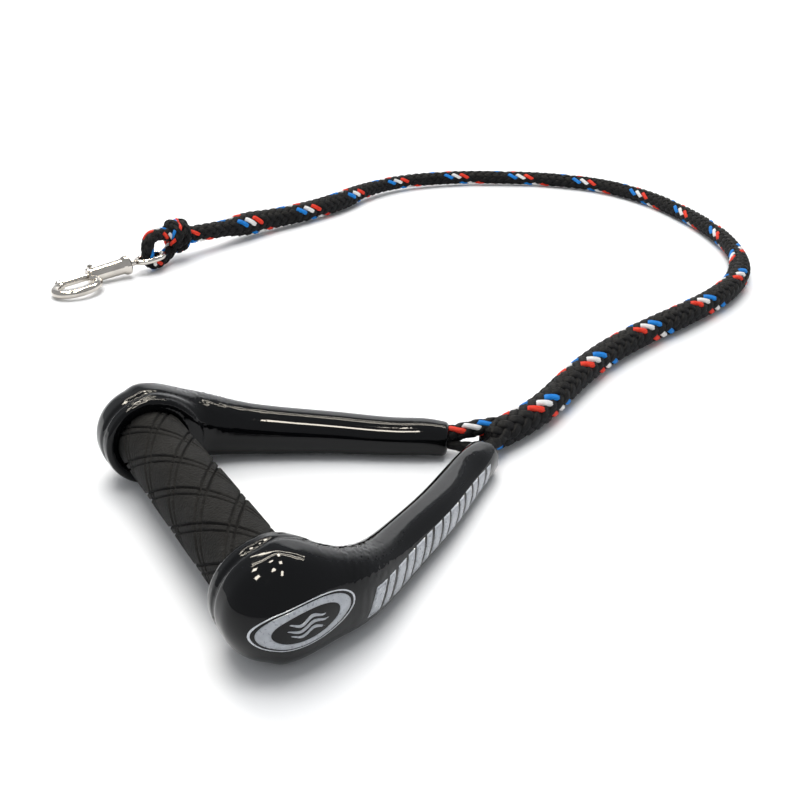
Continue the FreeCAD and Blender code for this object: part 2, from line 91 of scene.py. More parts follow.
def add_piece(name, vertices, faces, material, body, replaced=()):
    piece = new_object(name, vertices, faces, material)
    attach(piece, body)
    if replaced:
        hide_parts(*replaced)
    return piece


def smoothstep(low, high, x):
    t = np.clip((np.asarray(x, float) - low) / (high - low), 0, 1)
    return t * t * (3 - 2 * t)


# ---------------------------------------------------------------- materials
class Shader:
    """A material's node tree with short calls for the nodes used here."""

    def __init__(self, name):
        self.material = bpy.data.materials.new(name)
        self.material.use_nodes = True
        self.tree = self.material.node_tree
        self.bsdf = next(n for n in self.tree.nodes if n.type == "BSDF_PRINCIPLED")
        self.place = self.node("ShaderNodeTexCoord").outputs["Object"]

    def node(self, kind, **settings):
        made = self.tree.nodes.new(kind)
        for key, value in settings.items():
            setattr(made, key, value)
        return made

    def link(self, source, target):
        self.tree.links.new(source, target)

    def set(self, **values):
        for key, value in values.items():
            self.bsdf.inputs[key.replace("_", " ")].default_value = value

    def noise(self, scale, detail=4.0, roughness=0.5, source=None):
        made = self.node("ShaderNodeTexNoise")
        made.inputs["Scale"].default_value = scale
        made.inputs["Detail"].default_value = detail
        made.inputs["Roughness"].default_value = roughness
        self.link(source or self.place, made.inputs["Vector"])
        return made.outputs["Fac"]

    def voronoi(self, scale, feature="F1"):
        made = self.node("ShaderNodeTexVoronoi", feature=feature)
        made.inputs["Scale"].default_value = scale
        self.link(self.place, made.inputs["Vector"])
        return made.outputs["Distance"]

    def ramp(self, source, *stops):
        made = self.node("ShaderNodeValToRGB")
        elements = made.color_ramp.elements
        while len(elements) < len(stops):
            elements.new(0.5)
        for element, (position, colour) in zip(elements, stops):
            element.position = position
            element.color = colour if len(colour) == 4 else (*colour, 1)
        self.link(source, made.inputs["Fac"])
        return made.outputs["Color"]

    def span(self, source, low, high, to_low, to_high):
        made = self.node("ShaderNodeMapRange")
        ends = {"From Min": low, "From Max": high, "To Min": to_low, "To Max": to_high}
        for key, value in ends.items():
            made.inputs[key].default_value = value
        self.link(source, made.inputs["Value"])
        return made.outputs["Result"]

    def math(self, operation, first, second):
        made = self.node("ShaderNodeMath", operation=operation)
        for socket, value in zip(made.inputs, (first, second)):
            if isinstance(value, (int, float)):
                socket.default_value = value
            else:
                self.link(value, socket)
        return made.outputs["Value"]

    def bump(self, height, strength, distance):
        made = self.node("ShaderNodeBump")
        made.inputs["Strength"].default_value = strength
        made.inputs["Distance"].default_value = distance
        self.link(height, made.inputs["Height"])
        self.link(made.outputs["Normal"], self.bsdf.inputs["Normal"])


def grey(value):
    return (value, value, value)


def vinyl_material():
    """High gloss black vinyl with a slight orange peel and faint handling marks."""
    shader = Shader("gloss_black_vinyl")
    tone = shader.noise(35, 3)
    shader.link(
        shader.ramp(tone, (0.3, (0.0010, 0.0011, 0.0014)), (0.75, (0.0026, 0.0028, 0.0034))),
        shader.bsdf.inputs["Base Color"],
    )
    marks = shader.noise(140, 6, 0.7)
    shader.link(shader.span(marks, 0.35, 0.75, 0.03, 0.075), shader.bsdf.inputs["Roughness"])
    shader.set(IOR=1.37, Specular_IOR_Level=0.4)
    shader.bump(shader.noise(40, 1), 0.03, 0.0006)
    return shader.material


def print_material(name, low, high):
    """Silver grey print on the vinyl, a little uneven."""
    shader = Shader(name)
    shader.link(
        shader.ramp(shader.noise(420, 5), (0.3, low), (0.7, high)),
        shader.bsdf.inputs["Base Color"],
    )
    shader.link(
        shader.span(shader.noise(900, 3), 0.3, 0.7, 0.24, 0.4), shader.bsdf.inputs["Roughness"]
    )
    shader.set(Metallic=0.25, Coat_Weight=0.25, Coat_Roughness=0.12)
    shader.bump(shader.noise(1500, 2), 0.06, 0.0002)
    return shader.material


def rubber_material():
    """Matt charcoal rubber with a mottled, pebbled grain."""
    shader = Shader("charcoal_rubber")
    mottle = shader.noise(260, 8, 0.72)
    blotch = shader.noise(48, 4)
    both = shader.math(
        "ADD", shader.math("MULTIPLY", mottle, 0.7), shader.math("MULTIPLY", blotch, 0.3)
    )
    tones = shader.ramp(
        both,
        (0.38, (0.004, 0.004, 0.0042)),
        (0.52, (0.010, 0.010, 0.0099)),
        (0.68, (0.026, 0.0255, 0.0245)),
    )
    shader.link(tones, shader.bsdf.inputs["Base Color"])
    shader.link(shader.span(mottle, 0.3, 0.7, 0.62, 0.86), shader.bsdf.inputs["Roughness"])
    shader.set(Specular_IOR_Level=0.13)
    pebbles = shader.math("MULTIPLY", shader.voronoi(1300), 0.6)
    grain = shader.math("ADD", shader.noise(1100, 4, 0.6), pebbles)
    shader.bump(grain, 0.7, 0.0007)
    return shader.material


def yarn_material(name, dark, light, specular=0.14):
    """Twisted filament yarn: fine fibre lines across a slightly uneven dye."""
    shader = Shader(name)
    uneven = shader.noise(300, 6, 0.65)
    shader.link(shader.ramp(uneven, (0.3, dark), (0.72, light)), shader.bsdf.inputs["Base Color"])
    shader.link(
        shader.span(shader.noise(700, 3), 0.3, 0.7, 0.5, 0.78), shader.bsdf.inputs["Roughness"]
    )
    shader.set(Specular_IOR_Level=specular, Sheen_Weight=0.02, Sheen_Roughness=0.5)
    fibre = shader.node("ShaderNodeTexWave", wave_type="BANDS", bands_direction="DIAGONAL")
    fibre.inputs["Scale"].default_value = 900
    fibre.inputs["Distortion"].default_value = 6
    fibre.inputs["Detail"].default_value = 2
    shader.link(shader.place, fibre.inputs["Vector"])
    rough = shader.math("ADD", fibre.outputs["Fac"], shader.noise(2200, 3))
    shader.bump(rough, 0.4, 0.0003)
    return shader.material


def nickel_material():
    """Polished nickel plate, slightly warm, over a casting that isn't quite smooth."""
    shader = Shader("polished_nickel")
    shader.link(
        shader.ramp(shader.noise(90, 5), (0.3, (0.50, 0.465, 0.42)), (0.7, (0.66, 0.62, 0.565))),
        shader.bsdf.inputs["Base Color"],
    )
    shader.link(
        shader.span(shader.noise(350, 6, 0.7), 0.3, 0.75, 0.05, 0.16),
        shader.bsdf.inputs["Roughness"],
    )
    shader.set(Metallic=1.0)
    shader.bump(shader.noise(240, 3), 0.18, 0.0004)
    return shader.material


def plain_material(name, dark, light, roughness, metallic=0.0):
    """For the pieces inside: tube, guides and spring."""
    shader = Shader(name)
    tone = shader.ramp(shader.noise(200, 4), (0.3, dark), (0.7, light))
    shader.link(tone, shader.bsdf.inputs["Base Color"])
    shader.link(
        shader.span(shader.noise(500, 3), 0.3, 0.7, roughness - 0.06, roughness + 0.08),
        shader.bsdf.inputs["Roughness"],
    )
    shader.set(Metallic=metallic)
    shader.bump(shader.noise(900, 2), 0.1, 0.0002)
    return shader.material


def floor_material():
    shader = Shader("pale_table")
    shader.link(
        shader.ramp(shader.noise(3, 3), (0.3, (0.90, 0.903, 0.907)), (0.7, (0.92, 0.921, 0.923))),
        shader.bsdf.inputs["Base Color"],
    )
    shader.link(
        shader.span(shader.noise(30, 3), 0.3, 0.7, 0.5, 0.6),
        shader.bsdf.inputs["Roughness"],
    )
    return shader.material


VINYL = vinyl_material()
PRINT = print_material("silver_print", (0.30, 0.315, 0.34), (0.40, 0.42, 0.45))
PRINT_EDGE = print_material("pale_print_edge", (0.50, 0.52, 0.55), (0.62, 0.64, 0.67))
RUBBER = rubber_material()
NICKEL = nickel_material()
BLACK_YARN = yarn_material("black_yarn", (0.0018, 0.0019, 0.0022), (0.0085, 0.0088, 0.010))
RED_YARN = yarn_material("red_yarn", (0.66, 0.022, 0.010), (0.86, 0.055, 0.022), 0.2)
WHITE_YARN = yarn_material("white_yarn", (0.72, 0.71, 0.69), (0.88, 0.87, 0.85), 0.2)
BLUE_YARN = yarn_material("blue_yarn", (0.003, 0.165, 0.55), (0.008, 0.25, 0.74), 0.2)
YARNS = (BLACK_YARN, RED_YARN, WHITE_YARN, BLUE_YARN)
BLACK, RED, WHITE, BLUE = range(4)
ALUMINIUM = plain_material("drawn_aluminium", grey(0.62), grey(0.74), 0.3, 1.0)
NYLON = plain_material("black_nylon", grey(0.02), grey(0.035), 0.5)
SPRING_STEEL = plain_material("spring_steel", grey(0.45), grey(0.6), 0.25, 1.0)


# ---------------------------------------------------------------- arms of the handle
# Sections of an arm: centre u, v and w, half width and half height, as in the model.
ARM_SECTIONS = np.array(
    [
        (3.0, 65.0, 0.0, 12.5, 17.0),
        (20.0, 66.0, -0.8, 12.2, 15.0),
        (37.0, 60.5, -2.9, 10.4, 12.0),
        (56.0, 50.0, -3.2, 9.4, 10.2),
        (80.0, 35.8, -2.3, 9.0, 8.8),
        (102.0, 20.8, -1.0, 8.4, 8.0),
        (112.0, 14.4, -0.1, 8.0, 7.8),
        (118.0, 10.4, -0.2, 7.4, 7.4),
    ]
)
BRIDLE_HALF = np.array(
    [
        (128.5, 3.2),
        (118.0, 10.4),
        (95.0, 25.0),
        (70.0, 41.0),
        (45.0, 56.0),
        (29.0, 66.0),
        (14.0, 73.5),
        (0.0, 72.0),
        (0.0, 40.0),
    ]
)


def flexed(u, sign):
    """The arms are flexible: as laid down, the near one reaches further than the far."""
    return u - sign * ARM_FLEX * (np.asarray(u) / ARM_REACH) ** 2


def spline_through(knots, values, count):
    """Natural cubic spline through values at knots, sampled evenly."""
    knots = np.asarray(knots, float)
    values = np.asarray(values, float)
    n = len(knots)
    h = np.diff(knots)
    system = np.eye(n)
    right = np.zeros((n, values.shape[1]))
    for i in range(1, n - 1):
        system[i, i - 1 : i + 2] = h[i - 1], 2 * (h[i - 1] + h[i]), h[i]
        right[i] = 6 * ((values[i + 1] - values[i]) / h[i] - (values[i] - values[i - 1]) / h[i - 1])
    curvature = np.linalg.solve(system, right)
    at = np.linspace(knots[0], knots[-1], count)
    k = np.clip(np.searchsorted(knots, at, side="right") - 1, 0, n - 2)
    a = ((knots[k + 1] - at) / h[k])[:, None]
    b = ((at - knots[k]) / h[k])[:, None]
    bend = (a**3 - a) * curvature[k] + (b**3 - b) * curvature[k + 1]
    return a * values[k] + b * values[k + 1] + bend * (h[k] ** 2)[:, None] / 6


def soft_min(a, b, k):
    h = np.clip(0.5 + 0.5 * (b - a) / k, 0, 1)
    return b + (a - b) * h - k * h * (1 - h)


def soft_max(a, b, k):
    return -soft_min(-a, -b, k)


# The cap round the grip's end: belly and dome, a lip round its face and the groove
# behind the lip.
BELLY_RADIUS = 19.0
BELLY_SWELL = 0.35
DOME_START = 66.0
DOME_RISE = 15.5
GROOVE_PLACE = 59.3
GROOVE_DEPTH = 0.8
LIP_RADIUS = 18.9
LIP_MIDDLE = 55.6
LIP_HALF_WIDTH = 2.1
SOCKET_END = 66.3
SOCKET_GAP = 0.15
CHANNEL_RADIUS = 4.25
TABLE_GAP = 0.3


class Boot:
    """A boot as a smooth distance-like field in handle coordinates, v always positive.

    sign is 1 for the far boot and -1 for the near one, which differ in their flex."""

    def __init__(self, sign):
        sections = ARM_SECTIONS.copy()
        sections[:, 0] = flexed(sections[:, 0], sign)
        line = spline_through(sections[:, 0], sections, 90)
        self.centre = line[:, :3]
        self.half = line[:, 3:]
        step = np.gradient(self.centre, axis=0)
        self.along = step / np.linalg.norm(step, axis=1)[:, None]
        bridle = BRIDLE_HALF.copy()
        bridle[:, 0] = flexed(bridle[:, 0], sign)
        knots = np.r_[0, np.cumsum(np.linalg.norm(np.diff(bridle, axis=0), axis=1))]
        self.channel = spline_through(knots, bridle, 70)

    def arm(self, p):
        """Oval section with a flatter outer side, rounded off past the tip."""
        plan = p[:, None, :2] - self.centre[None, :, :2]
        near = np.argmin((plan**2).sum(-1), axis=1)
        offset = p - self.centre[near]
        along = self.along[near]
        side = np.stack([-along[:, 1], along[:, 0]], 1)
        side /= np.linalg.norm(side, axis=1)[:, None]
        across = (offset[:, :2] * side).sum(1)
        beyond = (offset[:, :2] * along[:, :2]).sum(1)
        inside = np.abs(near - (len(self.centre) - 1) / 2) < (len(self.centre) - 1) / 2 - 0.5
        beyond = np.where(inside, 0.0, beyond)
        half = self.half[near]
        a = across / half[:, 0]
        b = offset[:, 2] / half[:, 1]
        power = np.where(across > 0, 2.55, 2.15)
        ratio = (np.abs(a) ** power + np.abs(b) ** power + 1e-9) ** (1 / power)
        field = (ratio - 1) * np.minimum(half[:, 0], half[:, 1])
        return soft_max(field, np.abs(beyond) - 2.2, 3.0)

    def cap(self, p):
        """Mushroom cap about the grip's axis with a lip round its face."""
        radius = np.hypot(p[:, 0], p[:, 2])
        v = p[:, 1]
        rise = (v - DOME_START) / DOME_RISE
        groove = GROOVE_DEPTH * np.exp(-(((v - GROOVE_PLACE) / 1.2) ** 2))
        belly = BELLY_RADIUS + BELLY_SWELL * np.cos((v - 61.0) / 7.0) - groove
        dome = np.where(rise > 0, np.hypot(radius / belly, rise) - 1, radius / belly - 1) * 16.0
        barrel = soft_max(dome, LIP_MIDDLE + 1.0 - v, 1.6)
        lip = soft_max(radius - LIP_RADIUS, np.abs(v - LIP_MIDDLE) - LIP_HALF_WIDTH, 1.6)
        return soft_min(barrel, lip, 0.9)

    def __call__(self, p):
        """Cap and arm blended, less the grip's socket and the rope's channel, on the table."""
        radius = np.hypot(p[:, 0], p[:, 2])
        behind_lip = CAP_FACE + 1.2 - p[:, 1] - 1.1 * np.maximum(p[:, 0] - 9.0, 0)
        arm = soft_max(self.arm(p), behind_lip, 2.0)
        whole = soft_min(self.cap(p), arm, 7.0)
        socket = soft_max(radius - (GRIP_RADIUS + SOCKET_GAP), p[:, 1] - SOCKET_END, 0.5)
        gap = p[:, None, :2] - self.channel[None, :, :]
        rope = np.sqrt((gap**2).sum(-1).min(1) + p[:, 2] ** 2) - CHANNEL_RADIUS
        whole = soft_max(whole, -soft_min(socket, rope, 0.4), 0.9)
        height = p[:, 2] * math.cos(DIP) - p[:, 0] * math.sin(DIP) + CAP_RADIUS
        return soft_max(whole, TABLE_GAP - height, 0.9)

    def slope(self, p, step=0.02):
        """Gradient of the field by central differences."""
        out = np.empty_like(p)
        for axis in range(3):
            shift = np.zeros(3)
            shift[axis] = step
            out[:, axis] = (self(p + shift) - self(p - shift)) / (2 * step)
        return out


def surface_net(field, low, high, step):
    """Quads on the zero level of a field: one vertex in each cell that the level crosses."""
    axes = [np.arange(a, b + step, step) for a, b in zip(low, high)]
    shape = tuple(len(a) for a in axes)
    grid = np.stack(np.meshgrid(*axes, indexing="ij"), -1).reshape(-1, 3)
    values = np.concatenate([field(part) for part in np.array_split(grid, 1 + len(grid) // 20000)])
    values = values.reshape(shape)
    inside = values < 0
    cells = tuple(n - 1 for n in shape)
    total = np.zeros((*cells, 3))
    count = np.zeros(cells)
    corners = [(i, j, k) for i in (0, 1) for j in (0, 1) for k in (0, 1)]

    def corner(data, c):
        return data[tuple(slice(o, o + n) for o, n in zip(c, cells))]

    for c in corners:
        for axis in range(3):
            if c[axis]:
                continue
            d = tuple(o + (n == axis) for n, o in enumerate(c))
            v0, v1 = corner(values, c), corner(values, d)
            crossed = (v0 < 0) != (v1 < 0)
            t = np.where(crossed, v0 / np.where(crossed, v0 - v1, 1), 0)
            for n in range(3):
                total[..., n] += np.where(crossed, c[n] + (t if n == axis else 0), 0)
            count += crossed
    used = count > 0
    index = -np.ones(cells, int)
    index[used] = np.arange(used.sum())
    base = np.stack(np.nonzero(used), 1)
    vertices = np.array(low) + step * (base + total[used] / count[used][:, None])
    faces = []
    for axis in range(3):
        b, c = [n for n in range(3) if n != axis]
        crossed = np.diff(inside.astype(np.int8), axis=axis)
        places = np.stack(np.nonzero(crossed), 1)
        ok = np.all([(places[:, n] > 0) & (places[:, n] < cells[n]) for n in (b, c)], axis=0)
        places = places[ok]
        turn = crossed[tuple(places.T)]
        ring = []
        for db, dc in ((-1, -1), (0, -1), (0, 0), (-1, 0)):
            q = places.copy()
            q[:, b] += db
            q[:, c] += dc
            ring.append(index[tuple(q.T)])
        quads = np.stack(ring, 1)
        flip = (turn > 0) if axis != 1 else (turn < 0)
        quads[flip] = quads[flip][:, ::-1]
        faces.append(quads)
    faces = np.concatenate(faces)
    return vertices, faces


def settle(vertices, faces, field, rounds):
    """Evens out the quads and puts every vertex exactly on the field's zero level."""
    edges = np.concatenate([faces[:, [0, 1]], faces[:, [1, 2]], faces[:, [2, 3]], faces[:, [3, 0]]])
    edges = np.unique(np.sort(edges, axis=1), axis=0)
    degree = np.bincount(edges.ravel(), minlength=len(vertices))[:, None]
    for _ in range(rounds):
        total = np.zeros_like(vertices)
        np.add.at(total, edges[:, 0], vertices[edges[:, 1]])
        np.add.at(total, edges[:, 1], vertices[edges[:, 0]])
        move = (total / degree - vertices) * 0.5
        slope = np.concatenate([field.slope(part) for part in np.array_split(vertices, 8)])
        size = np.maximum((slope**2).sum(1, keepdims=True), 1e-3)
        move -= slope * (move * slope).sum(1, keepdims=True) / size
        vertices = vertices + move
        for _ in range(2):
            value = np.concatenate([field(part) for part in np.array_split(vertices, 8)])[:, None]
            vertices = vertices - np.clip(value * slope / size, -0.5, 0.5)
    return vertices


def make_boot(name, sign):
    """Shell of one boot, and the field it was made from."""
    field = Boot(sign)
    step = 1.05
    vertices, faces = surface_net(field, (-21.5, 1.0, -21.0), (125.5, 84.0, 21.0), step)
    vertices = settle(vertices, faces, field, 3)
    vertices[:, 1] *= sign
    if sign < 0:
        faces = faces[:, ::-1]
    places = handle_to_row(vertices)
    add_piece(name + "_shell", places, faces.tolist(), VINYL, "handle", (name,))
    return field


# ---------------------------------------------------------------- camera and stage
CAMERA_TILT = math.radians(27.284207)
CAMERA_TURN = math.radians(31.63)
CAMERA_ROW = (-143.7, -287.7, 213.6)
CAMERA_LENS = 42.75


def make_camera():
    data = bpy.data.cameras.new("camera")
    data.sensor_width = 36
    data.lens = CAMERA_LENS
    data.clip_start = 0.01
    camera = bpy.data.objects.new("camera", data)
    bpy.context.scene.collection.objects.link(camera)
    camera.location = Vector(CAMERA_ROW) * MM
    camera.rotation_euler = (math.pi / 2 - CAMERA_TILT, 0, -CAMERA_TURN)
    bpy.context.scene.camera = camera


def make_floor():
    """Pale table that curves up into a back wall well behind the object."""
    size, rise, bend = 4.0, 2.5, 0.8
    profile = [(-size, 0.0), (size - bend, 0.0)]
    for i in range(1, 13):
        turn = i / 12 * math.pi / 2
        profile.append((size - bend + bend * math.sin(turn), bend - bend * math.cos(turn)))
    profile.append((size, rise))
    ahead = Vector((math.sin(CAMERA_TURN), math.cos(CAMERA_TURN), 0))
    across = Vector((ahead.y, -ahead.x, 0))
    vertices, faces = [], []
    for depth, height in profile:
        for side in (-size, size):
            vertices.append(tuple(ahead * depth + across * side + Vector((0, 0, height))))
    for i in range(len(profile) - 1):
        faces.append((2 * i, 2 * i + 1, 2 * i + 3, 2 * i + 2))
    floor = new_object("table", vertices, faces, floor_material())


WARM = (1.0, 0.93, 0.80)
PANEL_PLACES = ((-0.80, 0.0), (-0.66, 0.75), (-0.10, 0.12), (0.10, 0.80), (-0.36, -0.60))
STRIP_REACHES = (0.70, 0.86, 1.20)
LIGHTS_AIM = (0.05, 0.08, 0)


def area_light(name, place, target, width, height, power, colour, glint):
    """A soft light that doesn't mirror in the vinyl or, as a glint, one that only does."""
    data = bpy.data.lights.new(name, "AREA")
    data.shape = "RECTANGLE"
    data.size = width
    data.size_y = height
    data.energy = power
    data.color = colour
    light = bpy.data.objects.new(name, data)
    bpy.context.scene.collection.objects.link(light)
    light.location = place
    light.visible_glossy = glint
    light.visible_diffuse = not glint
    light.rotation_euler = (Vector(target) - Vector(place)).to_track_quat("-Z", "Y").to_euler()


def make_lights():
    """Small ceiling panels and long strips give the crisp glints, over a soft even fill."""
    world = bpy.data.worlds.new("studio")
    world.use_nodes = True
    world.node_tree.nodes["Background"].inputs["Color"].default_value = (0.93, 0.96, 1.0, 1)
    world.node_tree.nodes["Background"].inputs["Strength"].default_value = 0.5
    bpy.context.scene.world = world
    white = (1, 1, 1)
    area_light("soft_top", (0.05, 0.2, 2.0), LIGHTS_AIM, 1.3, 1.3, 28, white, glint=False)
    area_light("far_wash", (1.45, 2.3, 2.2), (1.45, 2.3, 0), 3.4, 2.2, 80, white, glint=False)
    for i, (x, y) in enumerate(PANEL_PLACES):
        area_light(f"panel_{i}", (x, y, 1.6), LIGHTS_AIM, 0.24, 0.28, 10, WARM, glint=True)
    for i, reach in enumerate(STRIP_REACHES):
        place = (LIGHTS_AIM[0] + 0.5 * reach, LIGHTS_AIM[1] + 0.86 * reach, 1.5)
        area_light(f"strip_{i}", place, LIGHTS_AIM, 2.4, 0.035, 10, WARM, glint=True)


# ---------------------------------------------------------------- rope
# Places in the row frame, in millimetres; the same points as the model's lead.
LEAD_ROUTE = [
    (78.5, 0.5, 7.8),
    (96, 3.5, 7.4),
    (120, 11, 7.4),
    (151, 27.5, 7.4),
    (186, 42, 7.4),
    (223, 51.5, 7.4),
    (265, 59, 7.4),
    (304, 68.5, 7.4),
    (340, 86, 7.4),
    (373, 116, 7.2),
    (399, 156, 6.5),
    (417, 202, 6.1),
    (428, 252, 6.0),
    (424, 301, 6.0),
    (400, 340, 6.1),
    (365, 369, 6.4),
    (324, 392, 6.8),
    (279, 400, 7.4),
    (240, 390, 8.0),
    (204, 369, 8.0),
    (168, 357, 8.2),
    (131, 350, 9.2),
    (102, 340, 11.5),
    (82, 332, 13.6),
    (64, 327.3, 15.0),
]


def spline_points(name, route, step):
    """Points a step apart, in millimetres, on the NURBS line that a route controls."""
    curve = bpy.data.curves.new(name + "_line", "CURVE")
    curve.dimensions = "3D"
    spline = curve.splines.new("NURBS")
    spline.points.add(len(route) - 1)
    for point, place in zip(spline.points, route):
        point.co = (*[c * MM for c in place], 1)
    spline.order_u = 3
    spline.use_endpoint_u = True
    curve.resolution_u = 24
    holder = bpy.data.objects.new(name + "_line", curve)
    bpy.context.scene.collection.objects.link(holder)
    mesh = bpy.data.meshes.new_from_object(holder)
    line = np.array([v.co[:] for v in mesh.vertices]) / MM
    bpy.data.objects.remove(holder)
    bpy.data.curves.remove(curve)
    bpy.data.meshes.remove(mesh)
    along = np.r_[0, np.cumsum(np.linalg.norm(np.diff(line, axis=0), axis=1))]
    count = max(4, int(round(along[-1] / step)) + 1)
    at = np.linspace(0, along[-1], count)
    return np.stack([np.interp(at, along, line[:, n]) for n in range(3)], 1), at


def line_frames(line):
    """Tangents and two side directions that turn as little as they can along a line."""
    tangent = np.gradient(line, axis=0)
    tangent /= np.linalg.norm(tangent, axis=1)[:, None]
    side = np.cross(tangent[0], (0, 0, 1.0))
    if np.linalg.norm(side) < 0.1:
        side = np.cross(tangent[0], (0, 1.0, 0))
    sides = []
    for t in tangent:
        side = side - t * side.dot(t)
        side = side / np.linalg.norm(side)
        sides.append(side)
    sides = np.array(sides)
    return tangent, sides, np.cross(tangent, sides)


STRAND_WIDTH = 0.88
TRACER_WIDTH = 0.72


def tube_faces(rings, points, base=0):
    """Quads along a tube of rings of points, and its two end faces."""
    first = np.arange(rings - 1)[:, None] * points + np.arange(points)[None, :]
    following = np.arange(rings - 1)[:, None] * points + (np.arange(points)[None, :] + 1) % points
    quads = np.stack([first, following, following + points, first + points], -1)
    faces = (quads.reshape(-1, 4) + base).tolist()
    faces.append([base + i for i in range(points)][::-1])
    faces.append([base + (rings - 1) * points + i for i in range(points)])
    return faces


def braid(line, at, radius, pitch, colours, phase, depth=0.64, points=12):
    """Strands of a two-over two-under braid about a line, as vertices, faces and colours.

    radius is the rope's outer radius at each point. colours gives the material number of
    each of the strands that turn one way; as many black ones turn the other way. Each
    strand is a bundle of two yarns, so its section has two lobes. A coloured strand is
    slimmer and stays on top for longer."""
    strands = len(colours)
    tangent, side, up = line_frames(line)
    radius = np.broadcast_to(radius, at.shape).astype(float)
    vertices, faces, paints = [], [], []
    lean = np.arctan2(TAU * radius, pitch)
    cell = pitch / strands * np.sin(lean)
    half_depth = 0.5 * cell * depth
    swing = half_depth * 0.8
    ring = np.arange(points) / points * TAU
    lobes = 1 - 0.24 * np.exp(-((np.cos(ring) / 0.3) ** 2))
    for hand in (1, -1):
        for k in range(strands):
            turn = hand * TAU * at / pitch + TAU * k / strands + phase
            count = 2 * strands * at / pitch
            if hand > 0:
                weave = np.cos(TAU / 4 * (2 * k + count - 0.5))
            else:
                weave = -np.cos(TAU / 4 * (2 * k - count - 0.5))
            paint = colours[k] if hand > 0 else 0
            slim = TRACER_WIDTH if paint else 1.0
            if paint:
                weave = np.clip(1.7 * weave + 0.55, -1, 1)
            half_width = 0.5 * cell * STRAND_WIDTH * slim * (1 + 0.10 * weave)
            height = radius - half_depth - swing + swing * weave
            out = side * np.cos(turn)[:, None] + up * np.sin(turn)[:, None]
            centre = line + out * height[:, None]
            heading = np.gradient(centre, axis=0)
            heading /= np.linalg.norm(heading, axis=1)[:, None]
            flat = np.cross(out, heading)
            flat /= np.linalg.norm(flat, axis=1)[:, None]
            normal = np.cross(heading, flat)
            wide = half_width[:, None] * np.cos(ring)
            thick = half_depth[:, None] * (lobes * np.sin(ring))
            shape = (
                centre[:, None, :]
                + flat[:, None, :] * wide[..., None]
                + normal[:, None, :] * thick[..., None]
            )
            strand_faces = tube_faces(len(at), points, len(vertices) * len(at) * points)
            vertices.append(shape.reshape(-1, 3))
            faces += strand_faces
            paints += [paint] * len(strand_faces)
    return np.concatenate(vertices), faces, paints


def core(line, radius, points=12):
    """Plain round tube inside a braid, so that no light shows through it."""
    _, side, up = line_frames(line)
    radius = np.broadcast_to(radius, (len(line),))
    ring = (np.arange(points) / points * TAU)[None, :, None]
    out = side[:, None, :] * np.cos(ring) + up[:, None, :] * np.sin(ring)
    vertices = (line[:, None, :] + out * radius[:, None, None]).reshape(-1, 3)
    return vertices, tube_faces(len(line), points)


def rope_piece(name, vertices, faces, paints, replaced=()):
    """A rope piece on the handle, each face in the yarn that its paint number says."""
    piece = add_piece(name, np.asarray(vertices) * MM, faces, YARNS[0], "handle", replaced)
    for material in YARNS[1:]:
        piece.data.materials.append(material)
    piece.data.polygons.foreach_set("material_index", paints)
    piece.data.update()
    return piece


def join_parts(*parts):
    """Several (vertices, faces, paints) as one."""
    vertices, faces, paints, base = [], [], [], 0
    for v, f, p in parts:
        vertices.append(v)
        faces += [[i + base for i in face] for face in f]
        paints += list(p)
        base += len(v)
    return np.concatenate(vertices), faces, paints


LEAD_PITCH = 56.8
LEAD_COLOURS = (BLACK, BLACK, BLUE, WHITE, RED, BLACK, BLACK, BLACK)
SPLICE_RADIUS = 7.3
MOUTH_TAPER = 0.9
ROPE_RADIUS = 5.8
SNAP_SPLICE_RADIUS = 7.6
NECK_RADIUS = 6.2
TAIL_BULGE = 1.1


def lead_radius(at, length):
    """Outer radius along the lead: thick over the buried tails, plain between."""
    first = SPLICE_RADIUS - MOUTH_TAPER * smoothstep(0, 9, 9 - at)
    handle = first + (ROPE_RADIUS - first) * smoothstep(278, 330, at)
    to_end = length - at
    snap = (SNAP_SPLICE_RADIUS - ROPE_RADIUS) * (1 - smoothstep(150, 205, to_end))
    neck = (SNAP_SPLICE_RADIUS - NECK_RADIUS) * (1 - smoothstep(30, 46, to_end))
    bulge = TAIL_BULGE * np.exp(-(((to_end - 58) / 13) ** 2))
    return handle + snap - neck + bulge


def make_lead():
    """The whole lead as one braid over a dark core."""
    step = 1.45
    line, at = spline_points("lead", LEAD_ROUTE, step)
    length = at[-1]
    radius = lead_radius(at, length)
    cover = braid(line, at, radius, LEAD_PITCH, LEAD_COLOURS, phase=-1.27)
    stretches = ("handle_splice", "lead_rope", "snap_splice", "lead_neck")
    tails = ("handle_buried_tail", "snap_buried_tail")
    piece = rope_piece("braided_lead", *cover, replaced=stretches + tails)
    inner, inner_faces = core(line, radius - 1.7)
    core_piece = rope_piece("lead_core", inner, inner_faces, [0] * len(inner_faces))
    return piece, core_piece, line


def make_small_rope(name, route, radius, pitch, colours, phase=0.0, replaced=()):
    """A thinner braid along a route of its own, with its dark core."""
    line, at = spline_points(name, route, 0.8 * (1))
    radii = np.full(len(at), radius)
    cover = braid(line, at, radii, pitch, colours, phase, depth=0.62, points=8)
    inner, inner_faces = core(line, radii * 0.72, 10)
    whole = join_parts(cover, (inner, inner_faces, [0] * len(inner_faces)))
    rope_piece(name, *whole, replaced=replaced)


